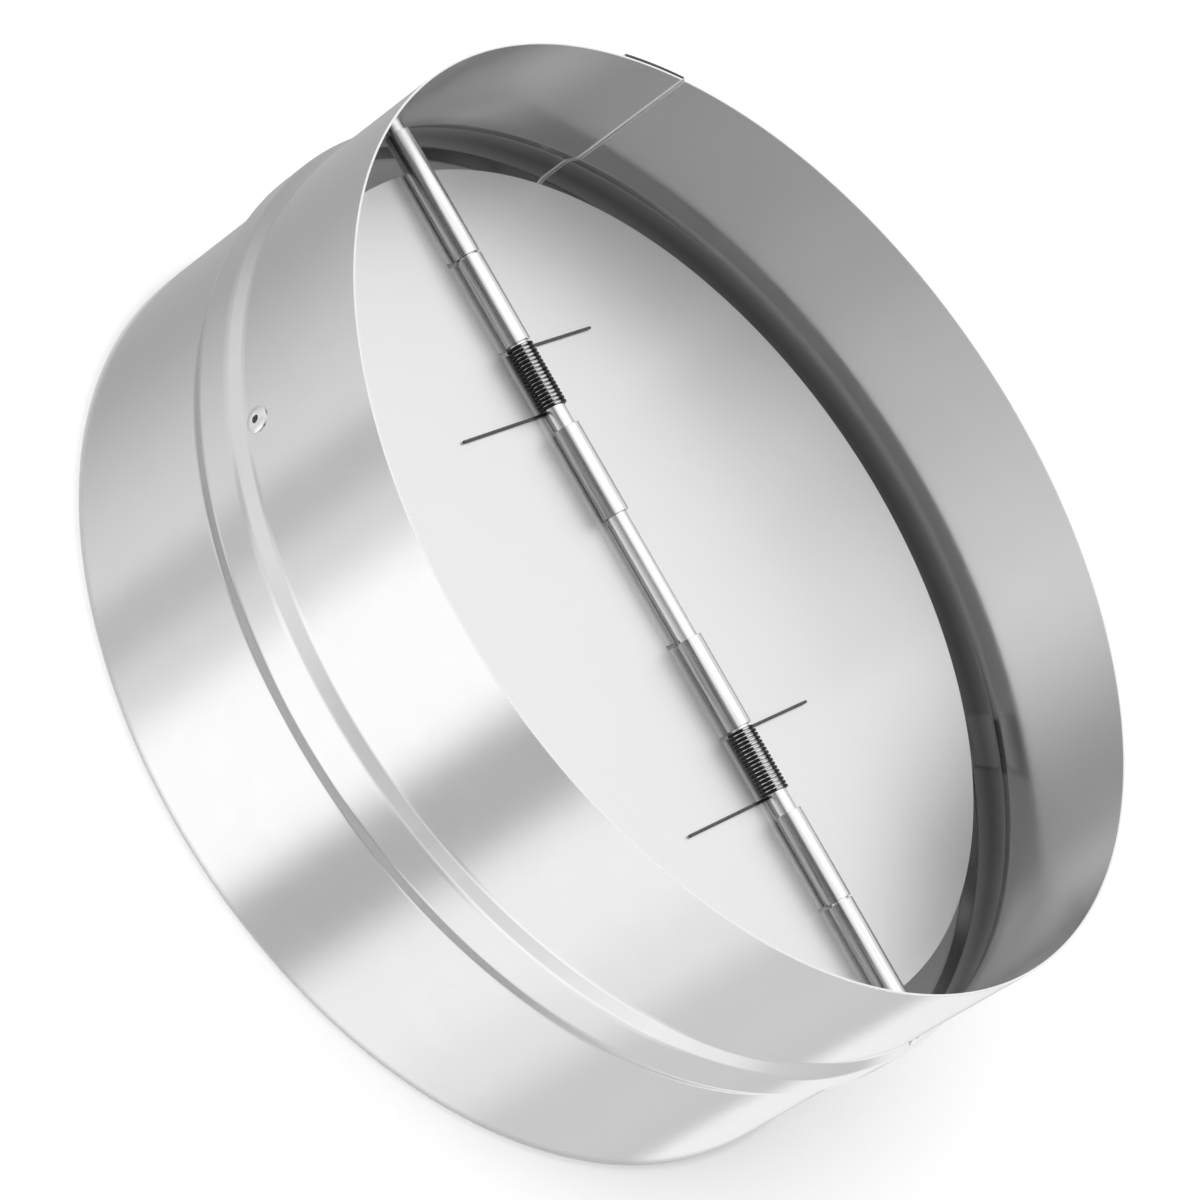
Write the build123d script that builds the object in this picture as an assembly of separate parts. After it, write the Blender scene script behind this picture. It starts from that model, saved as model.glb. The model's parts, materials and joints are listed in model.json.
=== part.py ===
from build123d import *
from math import cos, degrees, radians, sin, sqrt
import os

# Spring-loaded butterfly backdraft damper for a 250 mm round duct, in millimetres.
# The duct's axis is +Z with the inlet rim on Z = 0, so air leaves upwards.
# The hinge rod lies along X; the right blade is on the +Y side, the left one on -Y.

# Duct sleeve
duct_radius = 124.4
duct_length = 96.0
sheet = 0.55
bead_face_offset = 5.9
bead_width = 17.0
bead_slope_width = 4.0
bead_height = 1.9

# Lap seam of the sleeve: angles are measured from +X about +Z
seam_angle = 148.1
lap_angle = 9.0
lap_clearance = 0.04
joggle_angle = 0.5
joggle_gap_angle = 0.4

# Hinge rod
rod_radius = 2.5
rod_chamfer = 0.3
rod_seat_clearance = 0.05

# Blades
blade_rim_gap = 10.85
blade_sheet = 0.8
blade_face_depth = 40.0
blade_edge_gap = 0.3

# Knuckles rolled from the blades round the rod, alternating from blade to blade
knuckle_clearance = 0.05
knuckle_joint_gap = 0.5
inner_knuckle_start = 17.0
inner_knuckle_length = 24.0
outer_knuckle_length = 24.0
end_wall_clearance = 1.5
tab_rise_length = 2.2
tab_root_length = 1.0
relief_slit_width = 1.0
relief_slit_depth = 4.2
roll_open_start = 40.0
roll_open_end = 78.0

# Torsion springs
spring_window = 23.0
spring_wire = 0.72
spring_turns = 17
spring_pitch = 1.0
spring_rod_clearance = 0.14
spring_side_clearance = 0.25
spring_leg_length = 34.8
leg_blade_clearance = 0.09

# Stop brackets behind the blades
stop_angle = 58.6
bracket_sheet = 1.0
bracket_width = 14.0
bracket_reach = 16.0
bracket_edge_margin = 4.3
bracket_bend = 1.5
bracket_rest = 10.0
bracket_corner = 2.5
bracket_seat_clearance = 0.03
blade_stop_clearance = 0.1

# Blind rivets that hold the brackets
rivet_radius = 1.6
rivet_hole_clearance = 0.05
rivet_head_radius = 3.2
rivet_head_height = 0.58
rivet_head_rim = 0.2
rivet_bore_radius = 0.95
rivet_tail_radius = 2.3
rivet_tail_length = 2.6
rivet_tail_chamfer = 0.35
rivet_bead_margin = 0.1
mandrel_clearance = 0.05
mandrel_recess = 0.9
mandrel_ball_radius = 1.35

# Worked out from the sizes above
inner_radius = duct_radius - sheet
lap_radius = duct_radius + lap_clearance + sheet
blade_radius = inner_radius - blade_rim_gap
knuckle_inner = rod_radius + knuckle_clearance
knuckle_outer = knuckle_inner + blade_sheet
coil_radius = rod_radius + spring_rod_clearance + spring_wire / 2
blade_face_z = duct_length - blade_face_depth
bead_centre = blade_face_z - bead_face_offset
blade_drop = coil_radius + spring_wire / 2 + leg_blade_clearance
rod_z = blade_face_z + blade_drop
stop_foot_z = blade_face_z - blade_sheet - blade_stop_clearance
bracket_seat = sqrt((inner_radius - bracket_seat_clearance) ** 2 - (bracket_width / 2) ** 2)
rivet_grip_end = bracket_seat - bracket_sheet - rivet_hole_clearance
inner_knuckle_end = inner_knuckle_start + inner_knuckle_length
outer_knuckle_start = inner_knuckle_end + spring_window
end_knuckle_start = outer_knuckle_start + outer_knuckle_length
end_knuckle_end = sqrt(inner_radius**2 - knuckle_outer**2) - end_wall_clearance


def wall_profile(outer_radius, thickness):
    """Half section of the sleeve's wall, with its bead, as a face in the XZ plane."""
    low = bead_centre - bead_width / 2
    high = bead_centre + bead_width / 2
    with BuildSketch(Plane.XZ) as section:
        with BuildLine():
            outside = Polyline(
                (outer_radius, 0),
                (outer_radius, low),
                (outer_radius + bead_height, low + bead_slope_width),
                (outer_radius + bead_height, high - bead_slope_width),
                (outer_radius, high),
                (outer_radius, duct_length),
            )
            offset(outside, thickness, kind=Kind.INTERSECTION, side=Side.LEFT)
        make_face()
    return section.sketch


def wall_arc(outer_radius, thickness, start, sweep_angle):
    """The wall's section turned about the duct's axis through sweep_angle degrees."""
    turned = revolve(wall_profile(outer_radius, thickness), axis=Axis.Z, revolution_arc=sweep_angle)
    return Rot(0, 0, start) * turned


def radial(angle, z):
    """A frame on the duct's axis at height z whose X axis points outwards at angle."""
    return Pos(0, 0, z) * Rot(0, 0, angle)


def radial_cylinder(radius, start, length):
    """A cylinder along X from start, for holes and pins that point outwards."""
    return Pos(start, 0, 0) * Rot(0, 90, 0) * Cylinder(
        radius, length, align=(Align.CENTER, Align.CENTER, Align.MIN)
    )


def duct_sleeve():
    """Rolled sheet with a bead; its outer end steps out and laps over the inner end."""
    joint = seam_angle - joggle_gap_angle
    wall = wall_arc(duct_radius, sheet, seam_angle, 360 - joggle_gap_angle)
    step = wall_arc(
        lap_radius, lap_radius - inner_radius, joint - joggle_angle, joggle_angle
    )
    lap = wall_arc(lap_radius, sheet, joint, lap_angle + joggle_gap_angle)
    sleeve = wall + step + lap
    rod_hole = radial_cylinder(
        rod_radius + rod_seat_clearance, -lap_radius - sheet, 2 * (lap_radius + sheet)
    )
    sleeve -= Pos(0, 0, rod_z) * rod_hole
    for angle, z in rivet_places():
        hole = radial_cylinder(rivet_radius + rivet_hole_clearance, inner_radius - sheet, 4 * sheet)
        sleeve -= radial(angle, z) * hole
    return sleeve


def hinge_rod():
    """Round rod across the duct, its ends flush with the outside of the wall."""
    half_length = sqrt(duct_radius**2 - rod_radius**2)
    rod = radial_cylinder(rod_radius, -half_length, 2 * half_length)
    ends = rod.edges().filter_by(GeomType.CIRCLE)
    return Pos(0, 0, rod_z) * chamfer(ends, rod_chamfer)


def right_knuckle_spans():
    """Where the right blade's knuckles lie along the rod; the left one's are mirrored."""
    gap = knuckle_joint_gap / 2
    return [
        (-end_knuckle_end, -end_knuckle_start - gap),
        (-inner_knuckle_end, -inner_knuckle_start),
        (outer_knuckle_start, end_knuckle_start - gap),
    ]


def knuckle(start, end):
    """Sheet rolled round the rod, open towards its own blade where the roll ends."""
    reach = 2 * knuckle_outer
    with BuildSketch(Plane.YZ) as section:
        Circle(knuckle_outer)
        Circle(knuckle_inner, mode=Mode.SUBTRACT)
        with BuildLine():
            Polyline(
                (0, 0),
                (reach * cos(radians(roll_open_start)), -reach * sin(radians(roll_open_start))),
                (reach * cos(radians(roll_open_end)), -reach * sin(radians(roll_open_end))),
                (0, 0),
            )
        make_face(mode=Mode.SUBTRACT)
    return Pos(start, 0, 0) * extrude(section.sketch, end - start)


def knuckle_tab(start, end):
    """The tongue that steps from the blade's sheet up to the foot of the roll."""
    root = tab_rise_length + tab_root_length
    face = -blade_drop
    with BuildSketch(Plane.YZ) as section:
        with BuildLine():
            Polyline(
                (0, -knuckle_inner),
                (0, -knuckle_outer),
                (tab_rise_length, face - blade_sheet),
                (root, face - blade_sheet),
                (root, face),
                (tab_rise_length, face),
                (0, -knuckle_inner),
            )
        make_face()
    return Pos(start, 0, 0) * extrude(section.sketch, end - start)


def blade_plate():
    """Half disc with its straight edge cut back at the knuckles and slit beside them."""
    root = tab_rise_length + tab_root_length
    with BuildSketch(Plane.XY.offset(-blade_drop - blade_sheet)) as outline:
        Circle(blade_radius)
        with Locations((0, blade_edge_gap - blade_radius)):
            Rectangle(2 * blade_radius, 2 * blade_radius, mode=Mode.SUBTRACT)
        for start, end in right_knuckle_spans():
            with Locations(((start + end) / 2, root / 2)):
                Rectangle(end - start, root, mode=Mode.SUBTRACT)
            for side in (start - relief_slit_width / 2, end + relief_slit_width / 2):
                with Locations((side, relief_slit_depth / 2)):
                    Rectangle(relief_slit_width, relief_slit_depth, mode=Mode.SUBTRACT)
    return extrude(outline.sketch, blade_sheet)


def right_blade():
    """Half disc, tongues and knuckles in one sheet."""
    blade = blade_plate()
    rim = Cylinder(blade_radius, 4 * blade_drop)
    for start, end in right_knuckle_spans():
        blade += knuckle_tab(start, end) & rim
        blade += knuckle(start, end)
    return Pos(0, 0, rod_z) * blade


def torsion_spring(start):
    """Coil round the rod with a straight leg flat on each blade."""
    length = spring_turns * spring_pitch
    at_bottom = Plane(origin=(start, 0, 0), x_dir=(0, 0, -1), z_dir=(1, 0, 0))
    path = at_bottom * Helix(spring_pitch, length, coil_radius, lefthand=True)
    with BuildSketch(Plane(origin=path @ 0, z_dir=path % 0)) as wire:
        Rectangle(spring_wire, spring_wire)
    spring = sweep(wire.sketch, path=path, is_frenet=True)
    for x, side in ((start, 1), (start + length, -1)):
        leg = Box(spring_wire, spring_leg_length, spring_wire)
        spring += Pos(x, side * spring_leg_length / 2, -coil_radius) * leg
    return Pos(0, 0, rod_z) * spring


def rivet_places():
    """Angle and height of each stop's rivet: ahead of the bead, then behind it."""
    reach = bead_width / 2 + rivet_head_radius + rivet_bead_margin
    return [(180 + stop_angle, bead_centre + reach), (stop_angle, bead_centre - reach)]


def bent_strip(points, side):
    """A strip folded along points in the XZ plane, its width across Y."""
    with BuildSketch(Plane.XZ) as section:
        with BuildLine():
            FilletPolyline(*points, radius=bracket_bend)
            offset(amount=bracket_sheet, side=side)
        make_face()
    return extrude(section.sketch, bracket_width / 2, both=True)


def stop_bracket(angle, rivet_z):
    """A strip riveted to the wall whose foot lies behind a blade's edge.

    Ahead of the bead the web comes down past the blade's edge to the foot. Behind the
    bead it leans in from the wall, so that it stays out of sight under the blade.
    """
    foot_end = blade_radius - bracket_reach
    if rivet_z > stop_foot_z:
        foot_low = stop_foot_z - bracket_sheet
        rivet_edge = rivet_z + bracket_edge_margin
        points = [(bracket_seat, rivet_edge), (bracket_seat, foot_low), (foot_end, foot_low)]
        bracket = bent_strip(points, Side.RIGHT)
    else:
        points = [
            (bracket_seat, rivet_z - bracket_edge_margin),
            (bracket_seat, rivet_z + bracket_edge_margin + bracket_bend),
            (foot_end + bracket_rest, stop_foot_z),
            (foot_end, stop_foot_z),
        ]
        bracket = bent_strip(points, Side.LEFT)
    corners = bracket.edges().filter_by(Axis.Z).group_by(Axis.X)[0]
    bracket = fillet(corners, bracket_corner)
    hole_start = bracket_seat - 2 * bracket_sheet
    hole = radial_cylinder(rivet_radius + rivet_hole_clearance, hole_start, 4 * bracket_sheet)
    bracket -= Pos(0, 0, rivet_z) * hole
    return Rot(0, 0, angle) * bracket


def blind_rivet():
    """Hollow rivet along X: low head that a duct slides over, set tail inside the bracket."""
    tail_end = rivet_grip_end - rivet_tail_length
    head_top = duct_radius + rivet_head_height
    with BuildSketch(Plane.XY) as section:
        with BuildLine():
            Polyline(
                (head_top, rivet_bore_radius),
                (head_top, rivet_radius),
                (duct_radius + rivet_head_rim, rivet_head_radius),
                (duct_radius, rivet_head_radius),
                (duct_radius, rivet_radius),
                (rivet_grip_end, rivet_radius),
                (rivet_grip_end, rivet_tail_radius - rivet_tail_chamfer),
                (rivet_grip_end - rivet_tail_chamfer, rivet_tail_radius),
                (tail_end + rivet_tail_chamfer, rivet_tail_radius),
                (tail_end, rivet_tail_radius - rivet_tail_chamfer),
                (tail_end, rivet_bore_radius),
                (head_top, rivet_bore_radius),
            )
        make_face()
    return revolve(section.sketch, axis=Axis.X)


def rivet_mandrel():
    """What is left of the pulled mandrel: a stub in the bore and the ball at the tail."""
    tail_end = rivet_grip_end - rivet_tail_length
    stub_end = duct_radius + rivet_head_height - mandrel_recess
    stub = radial_cylinder(rivet_bore_radius - mandrel_clearance, tail_end, stub_end - tail_end)
    ball = Pos(tail_end - mandrel_clearance, 0, 0) * Sphere(mandrel_ball_radius)
    behind = Pos(tail_end - mandrel_clearance, 0, 0) * Box(
        2 * mandrel_ball_radius,
        2 * mandrel_ball_radius,
        2 * mandrel_ball_radius,
        align=(Align.MAX, Align.CENTER, Align.CENTER),
    )
    neck = radial_cylinder(
        rivet_bore_radius - mandrel_clearance, tail_end - 2 * mandrel_clearance, 4 * mandrel_clearance
    )
    return stub + neck + (ball & behind)


def build():
    blade = right_blade()
    spring_inset = spring_side_clearance + spring_wire / 2
    nodes = {
        "duct_sleeve": duct_sleeve(),
        "hinge_rod": hinge_rod(),
        "right_blade": blade,
        "left_blade": Rot(0, 0, 180) * blade,
        "rear_torsion_spring": torsion_spring(-outer_knuckle_start + spring_inset),
        "front_torsion_spring": torsion_spring(inner_knuckle_end + spring_inset),
    }
    for name, (angle, z) in zip(("left", "right"), rivet_places()):
        nodes[f"{name}_stop_bracket"] = stop_bracket(angle, z)
        nodes[f"{name}_stop_rivet"] = radial(angle, z) * blind_rivet()
        nodes[f"{name}_rivet_mandrel"] = radial(angle, z) * rivet_mandrel()
    return nodes


os.makedirs("parts", exist_ok=True)
for node, shape in build().items():
    export_step(shape, f"parts/{node}.step")
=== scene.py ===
import json
from math import atan2, cos, hypot, pi, radians, sin, sqrt

import bmesh
import bpy
from bpy.props import FloatProperty, FloatVectorProperty, IntProperty, PointerProperty
from mathutils import Matrix, Vector


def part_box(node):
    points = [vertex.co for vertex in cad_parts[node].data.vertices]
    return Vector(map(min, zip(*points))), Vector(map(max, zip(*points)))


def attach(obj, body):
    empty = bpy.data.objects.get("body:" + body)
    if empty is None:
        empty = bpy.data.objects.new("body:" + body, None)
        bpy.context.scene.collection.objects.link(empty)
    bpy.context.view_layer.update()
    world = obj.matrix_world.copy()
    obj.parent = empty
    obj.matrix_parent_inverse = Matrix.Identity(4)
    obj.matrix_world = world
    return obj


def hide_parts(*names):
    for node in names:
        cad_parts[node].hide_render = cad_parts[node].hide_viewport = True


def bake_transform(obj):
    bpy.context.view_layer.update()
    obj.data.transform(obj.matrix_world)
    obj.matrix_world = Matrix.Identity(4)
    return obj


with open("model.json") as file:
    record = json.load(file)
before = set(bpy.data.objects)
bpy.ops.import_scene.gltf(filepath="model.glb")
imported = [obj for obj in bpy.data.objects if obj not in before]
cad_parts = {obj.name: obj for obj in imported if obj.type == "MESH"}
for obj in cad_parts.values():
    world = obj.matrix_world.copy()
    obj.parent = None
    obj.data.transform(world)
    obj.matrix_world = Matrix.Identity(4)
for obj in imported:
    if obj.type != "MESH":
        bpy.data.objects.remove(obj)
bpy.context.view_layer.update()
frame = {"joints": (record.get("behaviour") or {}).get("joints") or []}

bl_info = {
    "name": "Backdraft damper",
    "version": (1, 0, 0),
    "blender": (4, 5, 0),
    "location": "3D View > Sidebar > Damper",
    "description": "Models and finishes the pieces of a round duct's backdraft damper",
    "category": "Object",
}

SLEEVE_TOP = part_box("duct_sleeve")[1].z
HINGE = frame["joints"][0]["pos_m"]
FULL_TURN = 2 * pi

# Places closer than this are the same, and corners closer than the second length are merged
SAME_PLACE = 1e-5
MERGED = 1e-6

# Corners and steps of the round forms
DRILL_CORNERS = 64
SHEET_COLUMNS = 720
LAP_STEPS = 19
CREASE_STEPS = 5
ROD_CORNERS = 72
DISC_CORNERS = 480
ROLL_STEPS = 52
WIRE_CORNERS = 12
COIL_STEPS = 26
RIVET_CORNERS = 56
MANDREL_CORNERS = 40
BALL_STEPS = 9
FLOOR_CORNERS = 96

# Lengths of the cutters that drill the rod's and the rivets' holes
ROD_DRILL = 0.02
RIVET_DRILL = 0.006

# Softening of the bead's four creases, from the inlet up
CREASES = (0.0006, 0.0007, 0.0009, 0.0007)

# How far a knuckle is rolled round the rod, and the bend at its tongue's root
ROLL_TURN = radians(310)
TONGUE_BEND = 0.0007

# Width of the strip at the disc's edge in which a roll's end is looked for
END_STRIP = 0.0005

LEG_BEND = 0.0012
STRIP_ROUND = 0.00012
TAIL_CHAMFER = 0.00035

# A rivet's dome: its rings as shares of the way in, then its end and the rings of the lip as
# multiples of the bore's radius, each of these with its fall below the dome's top
DOME_SHARES = (0.25, 0.5, 0.75, 1.0)
DOME_END = 1.35
LIP = ((1.12, 0.00003), (1.0, 0.00012))

# How the bore narrows, and how far above the tail's end it stops; the ball begins as far below
BORE_TAPER = 0.99
BORE_END = 0.0001

# The broken end of a mandrel: shares of its radius, and how far each ring stands out
STUB_END = ((1.0, 0.0), (0.7, 0.00008), (0.3, 0.0001))


# Sizes and colours


def length(name, description, default):
    """A size in metres."""
    return FloatProperty(
        name=name, description=description, default=default, min=0.0, unit="LENGTH", precision=5
    )


def angle(name, description, default):
    """An angle, given in degrees and kept in radians."""
    turn = radians(default)
    return FloatProperty(
        name=name, description=description, default=turn, unit="ROTATION", subtype="ANGLE"
    )


def tint(name, description, default):
    """A linear colour."""
    return FloatVectorProperty(
        name=name, description=description, default=default, size=3, min=0, max=1, subtype="COLOR"
    )


class DamperSizes(bpy.types.PropertyGroup):
    """Sizes of the damper's pieces."""

    duct_radius: length("Duct radius", "Outside radius of the sleeve", 0.1244)
    duct_length: length("Duct length", "Length of the sleeve", SLEEVE_TOP)
    sheet: length("Sleeve sheet", "Thickness of the sleeve's sheet", 0.00055)
    rim_round: length("Rim rounding", "Rounding of the sheet's cut edges", 0.00012)
    bead_centre: length("Bead height", "Height of the bead's middle above the inlet rim", 0.0501)
    bead_width: length("Bead width", "Width of the bead at its foot", 0.017)
    bead_slope: length("Bead slope", "Width of each of the bead's slopes", 0.004)
    bead_rise: length("Bead rise", "How far the bead stands out of the sleeve", 0.0019)
    seam_angle: angle("Seam", "Where the inner end of the sheet lies, about the duct's axis", 148.1)
    seam_gap: angle("Seam gap", "Gap between the inner end and the joggle", 0.5)
    lap_angle: angle("Lap", "How far the outer end laps over the inner one", 9.0)
    lap_step: length("Lap step", "How far the joggle steps the sheet outwards", 0.0009)
    rod_radius: length("Rod radius", "Radius of the hinge rod", 0.0025)
    rod_chamfer: length("Rod chamfer", "Chamfer on the rod's ends", 0.0003)
    rod_height: length("Rod height", "Height of the hinge's axis above the inlet rim", HINGE[2])
    hole_clearance: length("Hole clearance", "Radial clearance of pins in their holes", 0.00005)
    blade_radius: length("Blade radius", "Radius of the two half discs together", 0.113)
    blade_sheet: length("Blade sheet", "Thickness of the blades", 0.0008)
    blade_drop: length("Blade drop", "From the hinge's axis down to the blades' faces", 0.00345)
    blade_edge_gap: length("Edge gap", "From the hinge's plane to a blade's straight edge", 0.0003)
    blade_round: length("Blade rounding", "Rounding of the blades' edges", 0.00012)
    knuckle_radius: length("Knuckle radius", "Inside radius of the rolled knuckles", 0.00255)
    knuckle_length: length("Knuckle length", "Length of the knuckles beside the springs", 0.024)
    knuckle_start: length("Knuckle start", "From the rod's middle to the inner knuckles", 0.017)
    knuckle_gap: length("Knuckle gap", "Gap between neighbouring knuckles", 0.0005)
    tongue_rise: length("Tongue rise", "Where a tongue starts to rise to its knuckle", 0.0022)
    tongue_root: length("Tongue root", "Depth of the blade's cut-out at a tongue", 0.0032)
    slit_depth: length("Slit depth", "Depth of the slits beside a tongue", 0.0042)
    slit_width: length("Slit width", "Width of the slits beside a tongue", 0.001)
    wall_gap: length("Wall gap", "From the end knuckles to the sleeve", 0.0015)
    spring_window: length("Spring window", "Length of bare rod round which a spring lies", 0.023)
    spring_wire: length("Spring wire", "Diameter of the springs' wire", 0.00078)
    coil_radius: length("Coil radius", "Radius of the coils' centre line", 0.003)
    coil_pitch: length("Coil pitch", "Distance between the coils' turns", 0.001)
    coil_turns: IntProperty(
        name="Coil turns", description="Turns of each torsion spring", default=17, min=2, max=60
    )
    coil_inset: length("Coil inset", "From the window's end to the first turn", 0.00061)
    leg_length: length("Leg length", "Length of the springs' straight legs", 0.0348)
    stop_angle: angle("Stop angle", "Angle of the right stop about the duct's axis", 58.6)
    strip_sheet: length("Strip sheet", "Thickness of the stop brackets", 0.001)
    strip_width: length("Strip width", "Width of the stop brackets", 0.014)
    strip_seat: length("Strip seat", "From the duct's axis to the brackets' seat", 0.12362)
    strip_margin: length("Strip margin", "From a rivet's axis to the bracket's edge", 0.0043)
    strip_bend: length("Strip bend", "Bend radius of the stop brackets", 0.0015)
    strip_corner: length("Strip corner", "Corner radius of the brackets' feet", 0.0025)
    foot_height: length("Foot height", "Height of the feet's upper faces", 0.0551)
    foot_reach: length("Foot reach", "How far a foot reaches under its blade", 0.016)
    foot_rest: length("Foot rest", "Flat length of the hidden bracket's foot", 0.010)
    rivet_radius: length("Rivet radius", "Radius of the rivets' shanks", 0.0016)
    head_radius: length("Head radius", "Radius of the rivets' heads", 0.0032)
    head_rise: length("Head rise", "Height of the rivets' heads", 0.00078)
    head_rim: length("Head rim", "Height of the heads at their rim", 0.00024)
    bore_radius: length("Bore radius", "Radius of the rivets' bores", 0.00095)
    tail_radius: length("Tail radius", "Radius of the rivets' set tails", 0.0023)
    tail_length: length("Tail length", "Length of the rivets' set tails", 0.0026)
    rivet_margin: length("Rivet margin", "From the bead's foot to a rivet's head", 0.0001)
    ball_radius: length("Ball radius", "Radius of the mandrels' balls", 0.00135)
    stub_depth: length("Stub depth", "How far a mandrel's stub ends below its rivet's head", 0.0009)


class DamperColours(bpy.types.PropertyGroup):
    """Colours of the damper's finishes."""

    zinc: tint("Galvanised sheet", "Sleeve", (0.66, 0.66, 0.66))
    plate: tint("Zinc plate", "Hinge rod and stop brackets", (0.72, 0.72, 0.72))
    aluminium: tint("Aluminium sheet", "Blades", (0.86, 0.86, 0.86))
    oxide: tint("Black oxide", "Torsion springs", (0.01, 0.01, 0.01))
    rivet: tint("Rivet aluminium", "Rivets", (0.78, 0.78, 0.78))
    mandrel: tint("Mandrel steel", "Stubs in the rivets' bores", (0.12, 0.12, 0.12))
    floor: tint("Floor", "Plain floor of the stage", (0.9, 0.9, 0.9))


# Modelling helpers


def start(primitive, name, **settings):
    """Adds a primitive in place as a new piece and opens it in edit mode."""
    bpy.ops.object.select_all(action="DESELECT")
    primitive(**settings)
    piece = bpy.context.object
    piece.name = piece.data.name = name
    bpy.ops.object.transform_apply(location=True, rotation=True, scale=True)
    bpy.ops.object.mode_set(mode="EDIT")
    bpy.ops.mesh.select_all(action="SELECT")
    return piece


def pick(kind, test):
    """Selects the vertices, edges or faces whose every corner passes the test."""
    bpy.ops.mesh.select_mode(type=kind)
    bpy.ops.mesh.select_all(action="DESELECT")
    mesh = bmesh.from_edit_mesh(bpy.context.object.data)
    if kind == "VERT":
        found = [corner for corner in mesh.verts if test(corner.co)]
    else:
        items = mesh.edges if kind == "EDGE" else mesh.faces
        found = [item for item in items if all(test(corner.co) for corner in item.verts)]
    if not found:
        raise RuntimeError(f"nothing to select on {bpy.context.object.name}")
    for item in found:
        item.select_set(True)
    bmesh.update_edit_mesh(bpy.context.object.data)


def near(value, target):
    """True if two places are the same to a hundredth of a millimetre."""
    return abs(value - target) < SAME_PLACE


def cut(point, normal, **settings):
    """Cuts the whole piece along a plane."""
    bpy.ops.mesh.select_all(action="SELECT")
    bpy.ops.mesh.bisect(plane_co=point, plane_no=normal, **settings)


def draw_out(x, y, z):
    """Extrudes what is selected along a vector."""
    bpy.ops.mesh.extrude_region_move(TRANSFORM_OT_translate={"value": (x, y, z)})


def scale_about(centre, x, y, z):
    """Scales what is selected about a point."""
    bpy.ops.transform.resize(value=(x, y, z), center_override=centre)


def close_edit():
    """Merges doubles, turns the faces outwards and leaves edit mode."""
    bpy.ops.mesh.select_all(action="SELECT")
    bpy.ops.mesh.remove_doubles(threshold=MERGED)
    bpy.ops.mesh.normals_make_consistent(inside=False)
    bpy.ops.object.mode_set(mode="OBJECT")


def choose(piece):
    """Selects one piece alone and makes it the active one."""
    bpy.ops.object.select_all(action="DESELECT")
    piece.select_set(True)
    bpy.context.view_layer.objects.active = piece


def apply_modifier(piece, kind, **settings):
    """Adds a modifier to a piece and applies it."""
    choose(piece)
    modifier = piece.modifiers.new(kind.lower(), kind)
    for name, value in settings.items():
        setattr(modifier, name, value)
    bpy.ops.object.modifier_apply(modifier=modifier.name)


def round_edges(piece, width):
    """Rounds a piece's sharp edges."""
    limit = radians(60.0)
    apply_modifier(
        piece, "BEVEL", width=width, segments=2, limit_method="ANGLE", angle_limit=limit
    )


def shade(piece, material, limit=32.0):
    """Smooth shading up to an angle, even on large faces, and the piece's finish."""
    choose(piece)
    bpy.ops.object.shade_smooth_by_angle(angle=radians(limit))
    apply_modifier(piece, "WEIGHTED_NORMAL", keep_sharp=True)
    piece.data.materials.clear()
    piece.data.materials.append(material)


def copy_of(piece, name, place):
    """A copy with its own mesh, put in its place through the mesh."""
    twin = piece.copy()
    twin.data = piece.data.copy()
    twin.name = twin.data.name = name
    twin.data.transform(place)
    bpy.context.scene.collection.objects.link(twin)
    return twin


def drill(piece, pins):
    """Cuts round holes through a piece; each pin is its place, turn, radius and length."""
    cutters = []
    for place, turn, radius, depth in pins:
        bpy.ops.object.select_all(action="DESELECT")
        bpy.ops.mesh.primitive_cylinder_add(
            vertices=DRILL_CORNERS, radius=radius, depth=depth, location=place, rotation=turn
        )
        cutters.append(bpy.context.object)
    for cutter in cutters:
        apply_modifier(piece, "BOOLEAN", operation="DIFFERENCE", solver="EXACT", object=cutter)
        bpy.data.objects.remove(cutter)


def outward(turn, reach, height):
    """Puts a piece that points up from the floor on the wall, pointing outwards."""
    return (
        Matrix.Rotation(turn, 4, "Z")
        @ Matrix.Translation((reach, 0, height))
        @ Matrix.Rotation(pi / 2, 4, "Y")
    )


def rivet_places(sizes):
    """Turn and height of the left and right stops' rivets."""
    reach = sizes.bead_width / 2 + sizes.head_radius + sizes.rivet_margin
    return {
        "left": (pi + sizes.stop_angle, sizes.bead_centre + reach),
        "right": (sizes.stop_angle, sizes.bead_centre - reach),
    }


def knuckle_spans(sizes):
    """Where the right blade's knuckles lie along the rod."""
    inner_end = sizes.knuckle_start + sizes.knuckle_length
    outer_start = inner_end + sizes.spring_window
    end_start = outer_start + sizes.knuckle_length
    outside = sizes.knuckle_radius + sizes.blade_sheet
    inside = sizes.duct_radius - sizes.sheet
    end = sqrt(inside**2 - outside**2) - sizes.wall_gap
    gap = sizes.knuckle_gap / 2
    return [
        (-end, -end_start - gap),
        (-inner_end, -sizes.knuckle_start),
        (outer_start, end_start - gap),
    ]


# Shader helpers


class Signal:
    """A shader socket's value, with arithmetic that adds Math nodes."""

    def __init__(self, shader, socket):
        self.shader = shader
        self.socket = socket

    def maths(self, operation, *values):
        """The result of one Math node."""
        return self.shader.add("Math", {"operation": operation}, dict(enumerate(values)))

    def absolute(self):
        """The value without its sign."""
        return self.maths("ABSOLUTE", self)

    def root(self):
        """The value's square root."""
        return self.maths("SQRT", self)

    def __add__(self, other):
        return self.maths("ADD", self, other)

    def __sub__(self, other):
        return self.maths("SUBTRACT", self, other)

    def __rsub__(self, other):
        return self.maths("SUBTRACT", other, self)

    def __mul__(self, other):
        return self.maths("MULTIPLY", self, other)

    __radd__ = __add__
    __rmul__ = __mul__


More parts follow.
